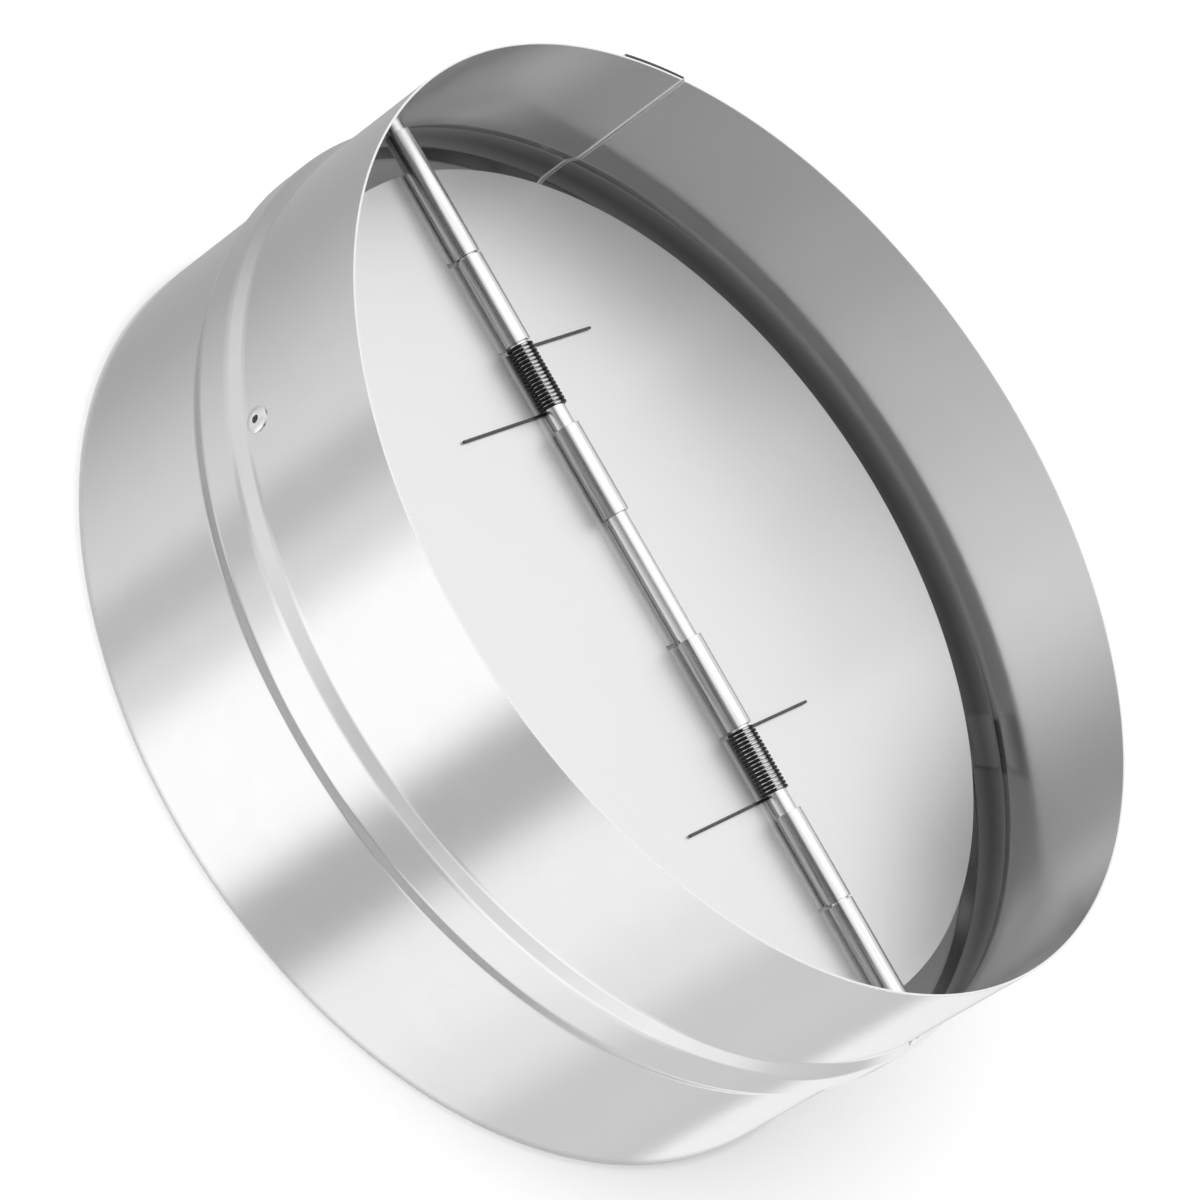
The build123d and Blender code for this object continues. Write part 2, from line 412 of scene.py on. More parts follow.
class Shader:
    """Adds nodes to the tree of a material or a world."""

    def __init__(self, owner):
        owner.use_nodes = True
        self.owner = owner
        self.tree = owner.node_tree
        self.tree.nodes.clear()

    def add(self, kind, settings=None, sockets=None, output=0):
        """A node with its settings, then the values or links of its sockets."""
        node = self.tree.nodes.new("ShaderNode" + kind)
        for name, value in (settings or {}).items():
            setattr(node, name, value)
        for name, value in (sockets or {}).items():
            if isinstance(value, Signal):
                self.tree.links.new(value.socket, node.inputs[name])
            else:
                node.inputs[name].default_value = value
        return Signal(self, node.outputs[output]) if node.outputs else None

    def parts(self, vector):
        """The x, y and z of a vector."""
        return [self.add("SeparateXYZ", sockets={0: vector}, output=axis) for axis in range(3)]

    def vector(self, x, y, z):
        """A vector made of three values."""
        return self.add("CombineXYZ", sockets={0: x, 1: y, 2: z})

    def noise(self, place, scale, detail=3.0, rough=0.5):
        """Noise from 0 to 1 at a number of cells to the metre."""
        return self.add(
            "TexNoise",
            sockets={"Vector": place, "Scale": scale, "Detail": detail, "Roughness": rough},
        )

    def spread(self, value, low, high, start=0.0, end=1.0, smooth=True):
        """Maps a value from one range to another."""
        kind = "SMOOTHSTEP" if smooth else "LINEAR"
        sockets = {0: value, 1: low, 2: high, 3: start, 4: end}
        return self.add("MapRange", {"interpolation_type": kind}, sockets)

    def shade(self, colour, amount):
        """A colour made lighter or darker by a factor."""
        grey = self.vector(amount, amount, amount)
        return self.add("VectorMath", {"operation": "MULTIPLY"}, {0: grey, 1: tuple(colour)})

    def mix(self, factor, one, other):
        """One colour turning into another."""
        return self.add("Mix", {"data_type": "RGBA"}, {0: factor, 6: one, 7: other}, output=2)

    def bump(self, height, distance, under=None):
        """The normal of a surface with relief of a height in metres, over another relief."""
        sockets = {"Height": height, "Distance": distance}
        if under:
            sockets["Normal"] = under
        return self.add("Bump", sockets=sockets)

    def finish(self, **sockets):
        """Ends a material in one Principled surface."""
        names = {name.replace("_", " "): value for name, value in sockets.items()}
        surface = self.add("BsdfPrincipled", sockets=names)
        self.add("OutputMaterial", sockets={"Surface": surface})
        return self.owner


def new_shader(name):
    """A shader for a new material."""
    return Shader(bpy.data.materials.new(name))


# Finishes


def galvanised_sheet(sizes, colours):
    """Satin zinc: faint spangle, rolling lines round the sleeve and painted highlight lines on the
    cut rims.

    Inside, painted shade darkens the wall about the bead; painted light brightens it by the hinge's
    ends.
    """
    shader = new_shader("galvanised_sheet")
    radius = sizes.duct_radius
    place = shader.add("TexCoord", output="Object")
    from_seam = {"Vector": place, "Angle": pi - sizes.seam_angle}
    turned = shader.add("VectorRotate", {"rotation_type": "Z_AXIS"}, from_seam)
    x, y, z = shader.parts(turned)
    around = x.maths("ARCTAN2", y, x) * radius
    out = (x * x + y * y).root()
    flat = shader.vector(around, z, out)
    spangle = shader.add("TexVoronoi", sockets={"Vector": flat, "Scale": 160.0}, output="Color")
    flakes = shader.parts(spangle)
    clouds = shader.noise(flat, 22.0)
    lines = shader.noise(shader.vector(around * 0.04, z, out), 2600.0, 2.0)
    low_rim = shader.spread(z, 0.0001, 0.0003, 1.0, 0.0)
    high_rim = shader.spread(z, sizes.duct_length - 0.0003, sizes.duct_length - 0.0001)
    seam_place = pi * radius
    seam = shader.spread(around.absolute(), seam_place - 0.0009, seam_place - 0.0007)
    from_bead = (z - sizes.bead_centre).absolute()
    half = sizes.bead_width / 2
    crown = half - sizes.bead_slope
    rise = shader.spread(from_bead, crown, half, sizes.bead_rise, 0.0, smooth=False)
    inside = shader.spread(out - rise, radius - 0.0004, radius - 0.0002, 1.0, 0.0)
    # Painted shade: the inside is darkened about the bead, down to the blades' edge
    film_and_painted_shade = inside * shader.spread(from_bead, -0.001, 0.0105, 1.0, 0.0)
    rims = low_rim.maths("MAXIMUM", low_rim, high_rim)
    # Painted highlight: the cut rims and the seam's inner end are made pale and dull as bright
    # lines; where the lap stands out, the rims are painted dark
    painted_edge_line = rims.maths("MAXIMUM", rims, seam * inside)
    # Painted light: the inside is made paler, a little rougher and less metallic, near the hinge's
    # ends above the bead
    across = shader.parts(place)[0]
    near_end = shader.spread(across, 0.1, 0.119)
    far_end = shader.spread(across, -0.1235, -0.112, 1.0, 0.0)
    haze_and_painted_light = inside * (near_end + far_end) * shader.spread(z, 0.0586, 0.064)
    amount = 0.985 + 0.012 * flakes[0] + 0.02 * clouds + 0.008 * lines
    amount = amount - 0.68 * film_and_painted_shade + 0.47 * haze_and_painted_light
    lapped = shader.spread(out - rise, radius + 0.0002, radius + 0.0004)
    edge_line_tone = 0.88 - 0.8 * lapped
    coat = shader.shade(colours.zinc, amount)
    colour = shader.mix(painted_edge_line, coat, shader.vector(edge_line_tone, edge_line_tone, edge_line_tone))
    roughness = 0.13 + 0.02 * flakes[1] + 0.03 * clouds + 0.015 * lines
    roughness = roughness + 0.2 * painted_edge_line + 0.04 * haze_and_painted_light
    waves = shader.bump(shader.noise(flat, 16.0, 1.0), 0.00003)
    grain = shader.bump(lines + 0.4 * shader.noise(flat, 900.0, 2.0), 0.0000006, waves)
    metal = 1.0 - 0.85 * painted_edge_line - 0.2 * haze_and_painted_light * (1.0 - painted_edge_line)
    return shader.finish(Base_Color=colour, Metallic=metal, Roughness=roughness, Normal=grain)


def aluminium_sheet(sizes, colours):
    """Mill-finish blades: rolling lines along the hinge, darker drag marks on the rolls and painted
    shade on one side of each roll.

    The narrow crevice between a roll and its blade is dull, so that it keeps some light, and
    painted darker as shade.
    """
    shader = new_shader("aluminium_sheet")
    place = shader.add("TexCoord", output="Object")
    x, y, z = shader.parts(place)
    lines = shader.noise(shader.vector(x * 0.02, y, z), 3000.0, 2.0)
    clouds = shader.noise(place, 30.0)
    height = z - sizes.rod_height
    roll = (y * y + height * height).root()
    on_roll = shader.spread(roll, 0.0038, 0.0044, 1.0, 0.0)
    turn = y.maths("ARCTAN2", y, height)
    drag = shader.noise(shader.vector(x * 0.03, turn * 0.004, 0.0), 900.0, 4.0, 0.65)
    # Painted shade: one side of each roll is darkened, and its drag marks are stronger there
    side = shader.spread(turn, -1.1, -0.85, 1.0, 0.0) * shader.spread(turn, -3.0, -2.6)
    drag_marks_and_painted_shade = on_roll * (shader.spread(drag, 0.45, 0.75) * (0.3 + 0.35 * side) + 0.6 * side)
    # Painted shade: the crevice beside a roll is darkened, and made dull so that it keeps some
    # light
    beside = shader.spread(y.absolute(), 0.0028, 0.0042, 1.0, 0.0)
    crevice = beside * shader.spread(height, -0.0024, -0.0014, 1.0, 0.0)
    amount = 0.985 + 0.01 * lines + 0.02 * clouds
    amount = amount - (0.2 * on_roll + 0.55 * drag_marks_and_painted_shade) * (1.0 - crevice) - 0.3 * crevice
    roughness = 0.37 + 0.03 * clouds + 0.02 * lines - 0.17 * on_roll + 0.06 * drag_marks_and_painted_shade
    grain = shader.bump(lines, 0.0000005)
    return shader.finish(
        Base_Color=shader.shade(colours.aluminium, amount),
        Metallic=0.78 + 0.22 * on_roll - 0.75 * crevice,
        Roughness=roughness,
        Normal=grain,
    )


def zinc_plate(colours):
    """Bright zinc plate with drawing lines along the rod; the brackets are duller and painted
    darker as shade.
    """
    shader = new_shader("zinc_plated_steel")
    place = shader.add("TexCoord", output="Object")
    x, y, z = shader.parts(place)
    haze_and_painted_light = shader.noise(place, 260.0)
    lines = shader.noise(shader.vector(x * 0.03, y, z), 5200.0, 2.0)
    # Painted shade: the brackets, which sit under the blades by the wall, are painted a little
    # darker than the rod
    off_rod = shader.spread(y.absolute(), 0.01, 0.02)
    amount = 0.95 + 0.06 * haze_and_painted_light + 0.03 * lines - 0.15 * off_rod
    return shader.finish(
        Base_Color=shader.shade(colours.plate, amount),
        Metallic=1.0 - 0.7 * off_rod,
        Roughness=0.14 + 0.1 * haze_and_painted_light + 0.3 * off_rod,
        Normal=shader.bump(lines, 0.0000008),
    )


def black_oxide(sizes, colours):
    """Black spring steel: oiled oxide in specks, a painted highlight on one side of the coils and a
    painted sheen on the legs.
    """
    shader = new_shader("black_spring_steel")
    place = shader.add("TexCoord", output="Object")
    _, y, z = shader.parts(place)
    turn = y.maths("ARCTAN2", y, z - sizes.rod_height)
    # Painted highlight: a bright metallic band on one side of each coil's wire, and a painted sheen
    # on the legs
    painted_highlight = shader.spread(turn, -0.85, -0.7) * shader.spread(turn, -0.45, -0.2, 1.0, 0.0)
    specks = shader.spread(shader.noise(place, 2400.0, 3.0, 0.6), 0.58, 0.72)
    film_and_painted_shade = shader.noise(place, 420.0)
    leg = shader.spread(y.absolute(), 0.005, 0.007)
    specks_and_painted_sheen = 0.05 * specks + painted_highlight * (0.75 + 0.25 * film_and_painted_shade) * (1.0 - leg) + 0.1 * leg
    colour = shader.mix(specks_and_painted_sheen, tuple(colours.oxide) + (1,), (0.8, 0.8, 0.8, 1))
    return shader.finish(
        Base_Color=colour,
        Metallic=0.7 * painted_highlight,
        Roughness=0.2 + 0.14 * film_and_painted_shade,
        Specular_IOR_Level=0.2,
        Normal=shader.bump(film_and_painted_shade, 0.000004),
    )


def rivet_metal(name, colour, roughness, mottle):
    """Pressed or broken bare metal with a fine mottle."""
    shader = new_shader(name)
    place = shader.add("TexCoord", output="Object")
    grain = shader.noise(place, 3200.0)
    blotch = shader.noise(place, 700.0)
    return shader.finish(
        Base_Color=shader.shade(colour, 1.0 - mottle / 2 + mottle * blotch),
        Metallic=1.0,
        Roughness=roughness + 0.1 * blotch,
        Normal=shader.bump(grain, 0.000004),
    )


# Pieces


class DamperStep:
    """What all the operators of the damper share."""

    bl_options = {"REGISTER", "UNDO"}

    def execute(self, context):
        """Makes the step's pieces from the scene's settings."""
        self.make(context.scene.damper_sizes, context.scene.damper_colours)
        return {"FINISHED"}


class ModelSleeve(DamperStep, bpy.types.Operator):
    """Models the rolled sheet sleeve with its bead and lap seam"""

    bl_idname = "damper.model_sleeve"
    bl_label = "Model sleeve"

    def make(self, sizes, colours):
        radius = sizes.duct_radius
        sleeve = start(
            bpy.ops.mesh.primitive_cylinder_add,
            "sleeve_sheet",
            vertices=SHEET_COLUMNS,
            radius=radius,
            depth=sizes.duct_length,
            end_fill_type="NOTHING",
            location=(0, 0, sizes.duct_length / 2),
            rotation=(0, 0, sizes.seam_angle),
        )
        self.form_bead(sizes)
        self.form_lap(sizes)
        bpy.ops.object.mode_set(mode="OBJECT")
        apply_modifier(sleeve, "SOLIDIFY", thickness=sizes.sheet, offset=-1.0, use_even_offset=True)
        bpy.ops.object.mode_set(mode="EDIT")
        pick("EDGE", lambda at: near(at.z, 0) or near(at.z, sizes.duct_length))
        bpy.ops.mesh.bevel(offset=sizes.rim_round, segments=2, affect="EDGES")
        self.level_rims(sizes)
        bpy.ops.object.mode_set(mode="OBJECT")
        pins = []
        hole = sizes.rod_radius + sizes.hole_clearance
        for side in (-1, 1):
            centre = (side * radius, 0, sizes.rod_height)
            pins.append((centre, (0, pi / 2, 0), hole, ROD_DRILL))
        hole = sizes.rivet_radius + sizes.hole_clearance
        for turn, height in rivet_places(sizes).values():
            centre = (radius * cos(turn), radius * sin(turn), height)
            pins.append((centre, (0, pi / 2, turn), hole, RIVET_DRILL))
        drill(sleeve, pins)
        shade(sleeve, galvanised_sheet(sizes, colours), limit=30.0)
        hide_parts("duct_sleeve")
        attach(sleeve, "sleeve")

    def form_bead(self, sizes):
        """Cuts the creases, pushes the crown out and softens each crease."""
        low = sizes.bead_centre - sizes.bead_width / 2
        high = sizes.bead_centre + sizes.bead_width / 2
        crown = (low + sizes.bead_slope, high - sizes.bead_slope)
        for height in (low, *crown, high):
            cut((0, 0, height), (0, 0, 1))
        for height in crown:
            pick("VERT", lambda at: near(at.z, height))
            grow = 1 + sizes.bead_rise / sizes.duct_radius
            scale_about((0, 0, height), grow, grow, 1)
        for height, width in zip((low, *crown, high), CREASES):
            pick("EDGE", lambda at: near(at.z, height))
            bpy.ops.mesh.bevel(offset=width, segments=CREASE_STEPS, affect="EDGES")

    def level_rims(self, sizes):
        """Brings the corners at the seam back to the height of the rims."""
        middle = sizes.duct_length / 2
        pick("VERT", lambda at: abs(at.z - middle) > middle + MERGED)
        mesh = bmesh.from_edit_mesh(bpy.context.object.data)
        reach = max(abs(corner.co.z - middle) for corner in mesh.verts)
        scale_about((0, 0, middle), 1, 1, middle / reach)

    def form_lap(self, sizes):
        """Opens the seam, joggles one end of the sheet outwards and laps it over the other."""
        slack = 1e-4

        def past_seam(at):
            return (atan2(at.y, at.x) - sizes.seam_angle + pi) % FULL_TURN - pi

        pick("FACE", lambda at: -sizes.seam_gap - slack < past_seam(at) < slack)
        bpy.ops.mesh.delete(type="FACE")
        pick("EDGE", lambda at: abs(past_seam(at) + sizes.seam_gap) < slack)
        joggle = sizes.seam_gap / 2
        bpy.ops.mesh.spin(steps=1, angle=-joggle, center=(0, 0, 0), axis=(0, 0, 1))
        grow = 1 + sizes.lap_step / sizes.duct_radius
        scale_about((0, 0, 0), grow, grow, 1)
        lap = sizes.lap_angle + joggle
        bpy.ops.mesh.spin(steps=LAP_STEPS, angle=-lap, center=(0, 0, 0), axis=(0, 0, 1))


class ModelRod(DamperStep, bpy.types.Operator):
    """Models the hinge rod"""

    bl_idname = "damper.model_rod"
    bl_label = "Model hinge rod"

    def make(self, sizes, colours):
        half = sqrt(sizes.duct_radius**2 - sizes.rod_radius**2)
        rod = start(
            bpy.ops.mesh.primitive_cylinder_add,
            "rod",
            vertices=ROD_CORNERS,
            radius=sizes.rod_radius,
            depth=2 * half,
            location=(0, 0, sizes.rod_height),
            rotation=(0, pi / 2, 0),
        )
        for side in (-half, half):
            pick("EDGE", lambda at: near(at.x, side))
            bpy.ops.mesh.bevel(offset=sizes.rod_chamfer, segments=3, affect="EDGES")
        close_edit()
        shade(rod, zinc_plate(colours))
        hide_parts("hinge_rod")
        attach(rod, "sleeve")


class ModelBlades(DamperStep, bpy.types.Operator):
    """Models one half-disc blade with its rolled knuckles and turns a copy round"""

    bl_idname = "damper.model_blades"
    bl_label = "Model blades"

    def make(self, sizes, colours):
        face = sizes.rod_height - sizes.blade_drop
        right = start(
            bpy.ops.mesh.primitive_circle_add,
            "right_blade_sheet",
            vertices=DISC_CORNERS,
            radius=sizes.blade_radius,
            fill_type="NGON",
            location=(0, 0, face),
        )
        spans = knuckle_spans(sizes)
        cut((0, sizes.blade_edge_gap, 0), (0, -1, 0), clear_outer=True)
        for depth in (sizes.tongue_root, sizes.slit_depth):
            cut((0, depth, 0), (0, 1, 0))
        slits = []
        for first, last in spans:
            slits += [(first - sizes.slit_width, first), (last, last + sizes.slit_width)]
        slits = [slit for slit in slits if slit[0] > -sizes.blade_radius]
        for place in {place for slit in slits for place in slit}:
            cut((place, 0, 0), (1, 0, 0))
        self.remove(spans, sizes.tongue_root)
        self.remove(slits, sizes.slit_depth)
        pick("EDGE", lambda at: near(at.y, sizes.tongue_root) and self.within(at.x, spans))
        draw_out(0, sizes.tongue_rise - sizes.tongue_root, 0)
        draw_out(0, -sizes.tongue_rise, sizes.blade_drop - sizes.knuckle_radius)
        bpy.ops.mesh.spin(
            steps=ROLL_STEPS, angle=ROLL_TURN, center=(0, 0, sizes.rod_height), axis=(1, 0, 0)
        )
        edge = END_STRIP - sizes.blade_radius
        pick("EDGE", lambda at: at.x < edge and self.on_roll(at, sizes))
        draw_out(spans[0][0] + self.roll_end(), 0, 0)
        pick("EDGE", lambda at: near(at.y, sizes.tongue_rise) and near(at.z, face))
        bpy.ops.mesh.bevel(offset=TONGUE_BEND, segments=4, affect="EDGES")
        bpy.ops.mesh.select_all(action="SELECT")
        bpy.ops.mesh.remove_doubles(threshold=MERGED)
        bpy.ops.object.mode_set(mode="OBJECT")
        apply_modifier(
            right, "SOLIDIFY", thickness=sizes.blade_sheet, offset=-1.0, use_even_offset=True
        )
        round_edges(right, sizes.blade_round)
        shade(right, aluminium_sheet(sizes, colours))
        left = copy_of(right, "left_blade_sheet", Matrix.Rotation(pi, 4, "Z"))
        for blade, side in ((right, "right"), (left, "left")):
            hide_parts(f"{side}_blade")
            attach(blade, f"{side}_wing")

    @staticmethod
    def on_roll(at, sizes):
        """True on the rolls themselves, without their tongues."""
        return hypot(at.y, at.z - sizes.rod_height) < sizes.knuckle_radius + SAME_PLACE

    @staticmethod
    def roll_end():
        """How far out the selected end of a roll lies, at the disc's edge."""
        mesh = bmesh.from_edit_mesh(bpy.context.object.data)
        return max(abs(corner.co.x) for corner in mesh.verts if corner.select)

    @staticmethod
    def within(x, spans):
        """True if a place along the rod is in one of the spans."""
        return any(first - SAME_PLACE < x < last + SAME_PLACE for first, last in spans)

    def remove(self, spans, depth):
        """Takes the straight edge away within spans, down to a depth."""
        for first, last in spans:
            span = [(first, last)]
            pick("FACE", lambda at: self.within(at.x, span) and at.y < depth + SAME_PLACE)
            bpy.ops.mesh.delete(type="FACE")


class ModelSprings(DamperStep, bpy.types.Operator):
    """Models each torsion spring as two half coils, one for each blade"""

    bl_idname = "damper.model_springs"
    bl_label = "Model springs"

    def make(self, sizes, colours):
        material = black_oxide(sizes, colours)
        inner_end = sizes.knuckle_start + sizes.knuckle_length
        outer_start = inner_end + sizes.spring_window
        coil = sizes.coil_turns * sizes.coil_pitch
        starts = {
            "rear": -outer_start + sizes.coil_inset,
            "front": inner_end + sizes.coil_inset,
        }
        for name, first in starts.items():
            middle = (first + coil / 2, 0, sizes.rod_height)
            for blade, place, along in (("right", first, 1), ("left", first + coil, -1)):
                half = self.half_coil(sizes, f"{name}_spring_{blade}_half", place, along)
                shade(half, material, limit=60.0)
                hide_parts(f"{name}_torsion_spring")
                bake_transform(half)

    def half_coil(self, sizes, name, place, along):
        """Half a coil, wound from its leg towards the spring's middle."""
        turns = sizes.coil_turns / 2
        steps = round(COIL_STEPS * turns)
        reach = 0.51 * sizes.spring_wire
        low = sizes.rod_height - sizes.coil_radius
        half = start(
            bpy.ops.mesh.primitive_circle_add,
            name,
            vertices=WIRE_CORNERS,
            radius=sizes.spring_wire / 2,
            location=(0, 0, -sizes.coil_radius),
            rotation=(pi / 2, 0, 0),
        )
        bpy.ops.object.mode_set(mode="OBJECT")
        apply_modifier(
            half,
            "SCREW",
            axis="X",
            angle=-along * turns * FULL_TURN,
            screw_offset=along * turns * sizes.coil_pitch,
            steps=steps,
            render_steps=steps,
            use_smooth_shade=True,
        )
        half.data.transform(Matrix.Translation((place, 0, sizes.rod_height)))
        bpy.ops.object.mode_set(mode="EDIT")
        pick("EDGE", lambda at: abs(at.y) < MERGED and hypot(at.x - place, at.z - low) < reach)
        draw_out(0, along * (sizes.leg_length - LEG_BEND), 0)
        draw_out(0, along * LEG_BEND, 0)
        bpy.ops.mesh.edge_face_add()
        far = place + along * turns * sizes.coil_pitch
        top = 2 * sizes.rod_height - low if sizes.coil_turns % 2 else low
        pick("EDGE", lambda at: abs(at.y) < MERGED and hypot(at.x - far, at.z - top) < reach)
        bpy.ops.mesh.edge_face_add()
        close_edit()
        return half


class ModelStops(DamperStep, bpy.types.Operator):
    """Models the two bent strips on which the closed blades rest"""

    bl_idname = "damper.model_stops"
    bl_label = "Model stop brackets"

    def make(self, sizes, colours):
        material = zinc_plate(colours)
        seat = sizes.strip_seat
        foot_end = sizes.blade_radius - sizes.foot_reach
        for side, (turn, height) in rivet_places(sizes).items():
            edge = sizes.strip_margin
            if side == "left":
                foot = sizes.foot_height - sizes.strip_sheet
                path = [(seat, height + edge), (seat, foot), (foot_end, foot)]
            else:
                path = [
                    (seat, height - edge),
                    (seat, height + edge + sizes.strip_bend),
                    (foot_end + sizes.foot_rest, sizes.foot_height),
                    (foot_end, sizes.foot_height),
                ]
            strip = self.bent_strip(sizes, f"{side}_stop_strip", path)
            hole = sizes.rivet_radius + sizes.hole_clearance
            drill(strip, [((seat, 0, height), (0, pi / 2, 0), hole, RIVET_DRILL)])
            round_edges(strip, STRIP_ROUND)
            strip.data.transform(Matrix.Rotation(turn, 4, "Z"))
            shade(strip, material)
            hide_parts(f"{side}_stop_bracket")
            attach(strip, "sleeve")

    def bent_strip(self, sizes, name, path):
        """A strip drawn out along its folds, which are then bent round."""
        (x, z), (_, fold_z) = path[:2]
        middle = (x, 0, (z + fold_z) / 2)
        strip = start(
            bpy.ops.mesh.primitive_plane_add, name, size=1, location=middle, rotation=(0, pi / 2, 0)
        )
        scale_about(middle, 1, sizes.strip_width, abs(z - fold_z))
        for (x, z), (next_x, next_z) in zip(path[1:], path[2:]):
            pick("EDGE", lambda at: near(at.x, x) and near(at.z, z))
            draw_out(next_x - x, 0, next_z - z)
        for x, z in path[1:-1]:
            pick("EDGE", lambda at: near(at.x, x) and near(at.z, z))
            bpy.ops.mesh.bevel(offset=sizes.strip_bend, segments=6, affect="EDGES")
        x, z = path[-1]
        pick("VERT", lambda at: near(at.x, x) and near(at.z, z))
        bpy.ops.mesh.bevel(offset=sizes.strip_corner, segments=6, affect="VERTICES")
        bpy.ops.object.mode_set(mode="OBJECT")
        self.face_inwards(strip)
        apply_modifier(
            strip, "SOLIDIFY", thickness=sizes.strip_sheet, offset=1.0, use_even_offset=True
        )
        return strip

    @staticmethod
    def face_inwards(strip):
        """Turns the strip's faces so that its thickness grows away from the wall."""
        bpy.ops.object.mode_set(mode="EDIT")
        bpy.ops.mesh.select_all(action="SELECT")
        bpy.ops.mesh.normals_make_consistent(inside=False)
        mesh = bmesh.from_edit_mesh(strip.data)
        web = max(mesh.faces, key=lambda face: face.calc_center_median().x)
        if web.normal.x > 0:
            bpy.ops.mesh.flip_normals()
        bpy.ops.object.mode_set(mode="OBJECT")


class ModelRivets(DamperStep, bpy.types.Operator):
    """Models a blind rivet and its mandrel's stub, and copies them to both stops"""

    bl_idname = "damper.model_rivets"
    bl_label = "Model rivets"

    def make(self, sizes, colours):
        aluminium = rivet_metal("rivet_aluminium", colours.rivet, roughness=0.2, mottle=0.08)
        steel = rivet_metal("mandrel_steel", colours.mandrel, roughness=0.35, mottle=0.3)
        rivet = self.rivet(sizes)
        shade(rivet, aluminium, limit=40.0)
        mandrel = self.mandrel(sizes)
        shade(mandrel, steel, limit=40.0)
        for side, (turn, height) in rivet_places(sizes).items():
            place = outward(turn, sizes.duct_radius, height)
            made = (
                (rivet, f"{side}_rivet", f"{side}_stop_rivet", "rivet_aluminium"),
                (mandrel, f"{side}_mandrel", f"{side}_rivet_mandrel", "mandrel_steel"),
            )
            for model, name, node, slot in made:
                piece = copy_of(model, name, place)
                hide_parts(node)
                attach(piece, "sleeve")
        bpy.data.objects.remove(rivet)
        bpy.data.objects.remove(mandrel)

    def levels(self, sizes):
        """Heights of a rivet's grip end and tail end, measured from the sleeve's outside."""
        grip = sizes.strip_seat - sizes.strip_sheet - sizes.hole_clearance - sizes.duct_radius
        return grip, grip - sizes.tail_length

    def ring(self, height, radius, next_radius, next_height):
        """Draws a level ring out to the next radius and height."""
        pick("FACE", lambda at: near(at.z, height) and hypot(at.x, at.y) < radius + SAME_PLACE)
        draw_out(0, 0, next_height - height)
        scale_about((0, 0, next_height), next_radius / radius, next_radius / radius, 1)

    def follow(self, rings):
        """Draws a round end through a row of radii and heights."""
        for (radius, height), (next_radius, next_height) in zip(rings, rings[1:]):
            self.ring(height, radius, next_radius, next_height)

    def rivet(self, sizes):
        """The rivet's domed head with its bore, then the shank and the set tail below."""
        grip, tail = self.levels(sizes)
        rim, rise = sizes.head_rim, sizes.head_rise
        head, bore = sizes.head_radius, sizes.bore_radius
        rivet = start(
            bpy.ops.mesh.primitive_cylinder_add,
            "rivet",
            vertices=RIVET_CORNERS,
            radius=head,
            depth=rim,
            location=(0, 0, rim / 2),
        )
        dome = [(head, rim)]
        for share in DOME_SHARES:
            swell = sin(share * pi / 2)
            dome.append((head - share * (head - DOME_END * bore), rim + swell * (rise - rim)))
        dome += [(share * bore, rise - fall) for share, fall in LIP]
        dome.append((BORE_TAPER * bore, tail + BORE_END))
        self.follow(dome)
        chamfer = TAIL_CHAMFER
        shank, set_tail = sizes.rivet_radius, sizes.tail_radius
        self.follow(
            [
                (head, 0),
                (shank, -MERGED),
                (shank, grip),
                (set_tail - chamfer, grip - SAME_PLACE),
                (set_tail, grip - chamfer),
                (set_tail, tail + chamfer),
                (set_tail - chamfer, tail),
                (bore, tail - SAME_PLACE),
            ]
        )
        close_edit()
        return rivet

    def mandrel(self, sizes):
        """The broken stub in the rivet's bore, and the ball that set its tail."""
        _, tail = self.levels(sizes)
        radius = sizes.bore_radius - sizes.hole_clearance
        top = sizes.head_rise - sizes.stub_depth
        ball, join = sizes.ball_radius, tail - BORE_END
        mandrel = start(
            bpy.ops.mesh.primitive_cylinder_add,
            "mandrel",
            vertices=MANDREL_CORNERS,
            radius=radius,
            depth=top - join,
            location=(0, 0, (top + join) / 2),
        )
        self.follow([(share * radius, top + rise) for share, rise in STUB_END])
        rings = [(radius, join)]
        for step in range(BALL_STEPS):
            bend = step * pi / (2 * BALL_STEPS)
            rings.append((ball * cos(bend), join - 2 * SAME_PLACE - ball * sin(bend)))
        self.follow(rings)
        close_edit()
        return mandrel


# Stage

FLOOR_RADIUS = 14.0

# What the floor adds to its paint: inside the sleeve, and outside where the camera sees it
INNER_GLOW = 0.09
OPEN_GLOW = 0.23
GLOW_EDGE = 0.002

LAMP_SIZE = 1.6
LAMP_POWER = 6.0
LAMP_PLACE = (-0.5, -0.5, 1.9)

# The photograph's viewpoint: the camera's right and backward directions, its place and lens
CAMERA_RIGHT = (0.49548, 0.53702, 0.68272)
CAMERA_BACK = (0.09862, -0.81568, 0.57004)
CAMERA_PLACE = (0.11469, -0.96868, 0.72018)
CAMERA_LENS = 150.0
CAMERA_SENSOR = 36.0

# Soft panels and flags: azimuth, half width and soft edge, then elevation and half height, in
# degrees, and the light that each adds to the white room
PANELS = (
    (120, 95, 70, -35, 40, -0.48),
    (219, 12, 9, -35, 40, -0.28),
    (262, 28, 14, -35, 40, 0.50),
    (295, 16, 10, -35, 40, -0.36),
    (334, 34, 16, -35, 40, 0.30),
    (30, 60, 20, -35, 40, -0.14),
    (66, 20, 10, -35, 40, 0.55),
    (0, 180, 0.1, -90, 34, -0.45),
    (165, 52, 42, 35, 30, -0.85),
    (238, 36, 34, 35, 30, 0.34),
    (6, 85, 52, 35, 30, -0.85),
    (340, 46, 14, 8, 22, 0.30),
    (272, 46, 10, 22, 10, -0.75),
    (0, 180, 0.1, 90, 44, 0.55),
)

# The share of a panel's height up to its soft edge, and the room's darkest level
PANEL_CORE = 0.6
DARKEST = 0.05


